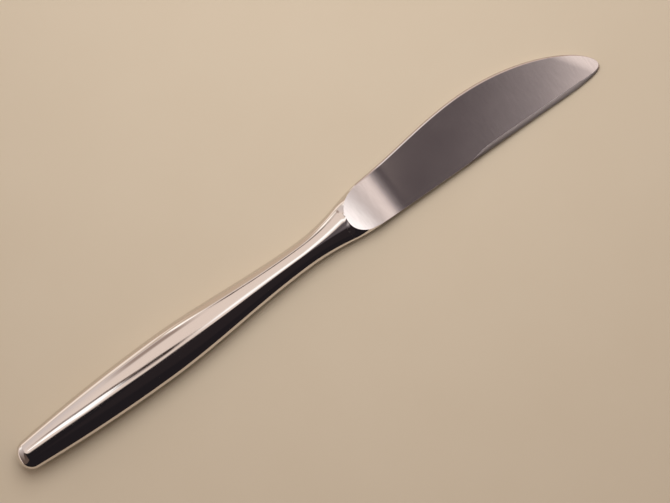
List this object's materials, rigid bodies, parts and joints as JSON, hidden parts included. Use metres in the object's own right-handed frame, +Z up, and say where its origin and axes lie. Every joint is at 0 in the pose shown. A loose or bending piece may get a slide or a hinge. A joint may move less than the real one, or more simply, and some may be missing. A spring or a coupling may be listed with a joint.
{
  "type": "dessert knife",
  "caption": "Hollow-handled dessert knife with a swelling polished handle, a waisted neck and a broad satin-ground blade with a rounded tip.",
  "frame": {"origin": "on the table under the middle of the knife's box, with the knife lying on its side", "axes": "+X along the knife from the butt to the tip, +Y from the cutting edge to the spine, +Z up from the table"},
  "size_m": [0.2006, 0.0202, 0.008],
  "materials": {
    "satin_steel": "satin",
    "polished_steel": "polished",
    "silver_braze": "polished",
    "cement": "matte"
  },
  "bodies": {
    "root": {"blade": "satin_steel", "handle_shell_upper": "polished_steel", "handle_shell_lower": "polished_steel", "seam_braze": "silver_braze", "handle_cement": "cement"}
  },
  "joints": []
}
